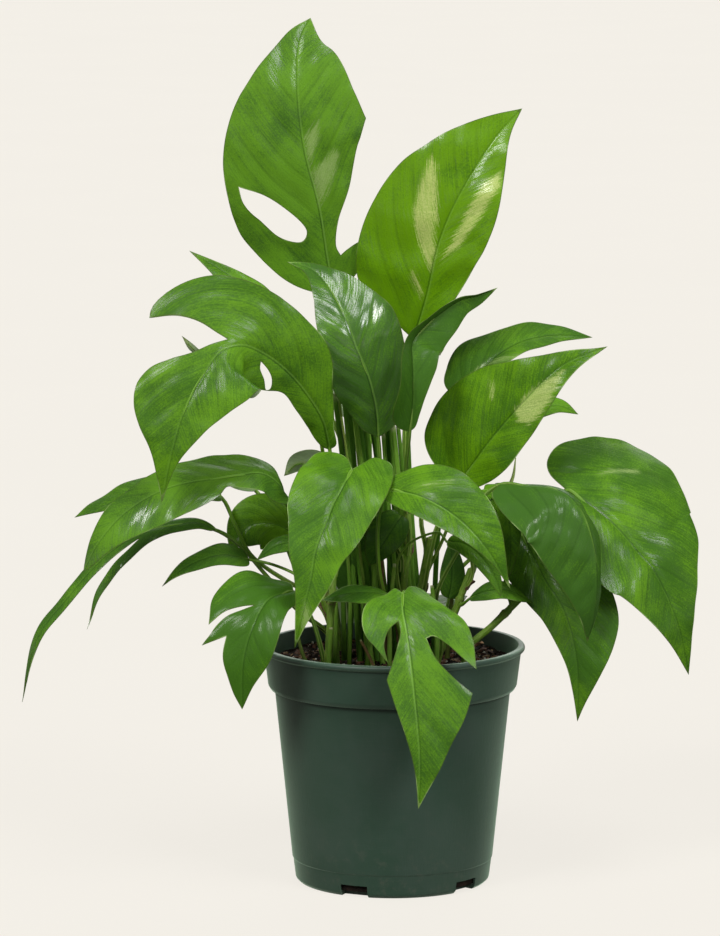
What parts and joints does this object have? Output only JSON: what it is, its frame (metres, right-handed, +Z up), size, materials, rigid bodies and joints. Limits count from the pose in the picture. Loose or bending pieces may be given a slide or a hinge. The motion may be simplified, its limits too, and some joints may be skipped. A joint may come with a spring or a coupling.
{
  "type": "potted dragon tail plant",
  "caption": "Leafy climbing house plant with split and whole arching leaves on long stalks, growing from potting mix in a round tapered nursery pot with a rim band and drain notches.",
  "frame": {"origin": "centre of the pot's underside, on the pot's axis", "axes": "+Z up along the pot's axis, -Y towards the front that the picture shows, +X to its right"},
  "size_m": [0.4184, 0.2387, 0.5361],
  "materials": {
    "pot_plastic": "semi-matte moulded dark green",
    "potting_mix": "rough, dark, bark and fibre",
    "stem": "smooth yellow-green",
    "new_leaf": "smooth pale green",
    "leaf": "waxy, lightly glossy"
  },
  "bodies": {
    "root": {"pot": "pot_plastic", "potting_mix": "potting_mix", "stem_front_left": "stem", "stem_centre": "stem", "stem_right": "stem", "stem_far_right": "stem", "stem_left": "stem", "stem_back": "stem", "stem_back_right": "stem", "stem_back_left": "stem", "new_leaf_rolled": "new_leaf", "leaf_crown_split": "leaf", "leaf_crown_pale": "leaf", "leaf_centre_curled": "leaf", "leaf_upper_right_folded": "leaf", "leaf_right_upper_back": "leaf", "leaf_right_upper_front": "leaf", "leaf_right_behind": "leaf", "leaf_right_large": "leaf", "leaf_right_dark": "leaf", "leaf_right_low": "leaf", "leaf_front_right": "leaf", "leaf_front_right_behind": "leaf", "leaf_front_heart": "leaf", "leaf_front_split": "leaf", "leaf_front_low": "leaf", "leaf_left_low_split": "leaf", "leaf_left_arching": "leaf", "leaf_left_behind": "leaf", "leaf_far_left_narrow": "leaf", "leaf_left_small": "leaf", "leaf_left_round": "leaf", "leaf_left_tucked": "leaf", "leaf_left_underside": "leaf", "leaf_upper_left_split": "leaf", "leaf_upper_left_back": "leaf", "leaf_inner_curled": "leaf", "leaf_inner_upright": "leaf", "leaf_inner_shaded": "leaf", "leaf_right_level": "leaf", "leaf_front_drooping": "leaf", "leaf_back_upright": "leaf", "leaf_back_far_right": "leaf", "leaf_back_right": "leaf", "leaf_back_middle": "leaf", "leaf_back_left_upper": "leaf", "leaf_back_low_right": "leaf", "leaf_back_low_left": "leaf", "leaf_back_left": "leaf"}
  },
  "joints": []
}
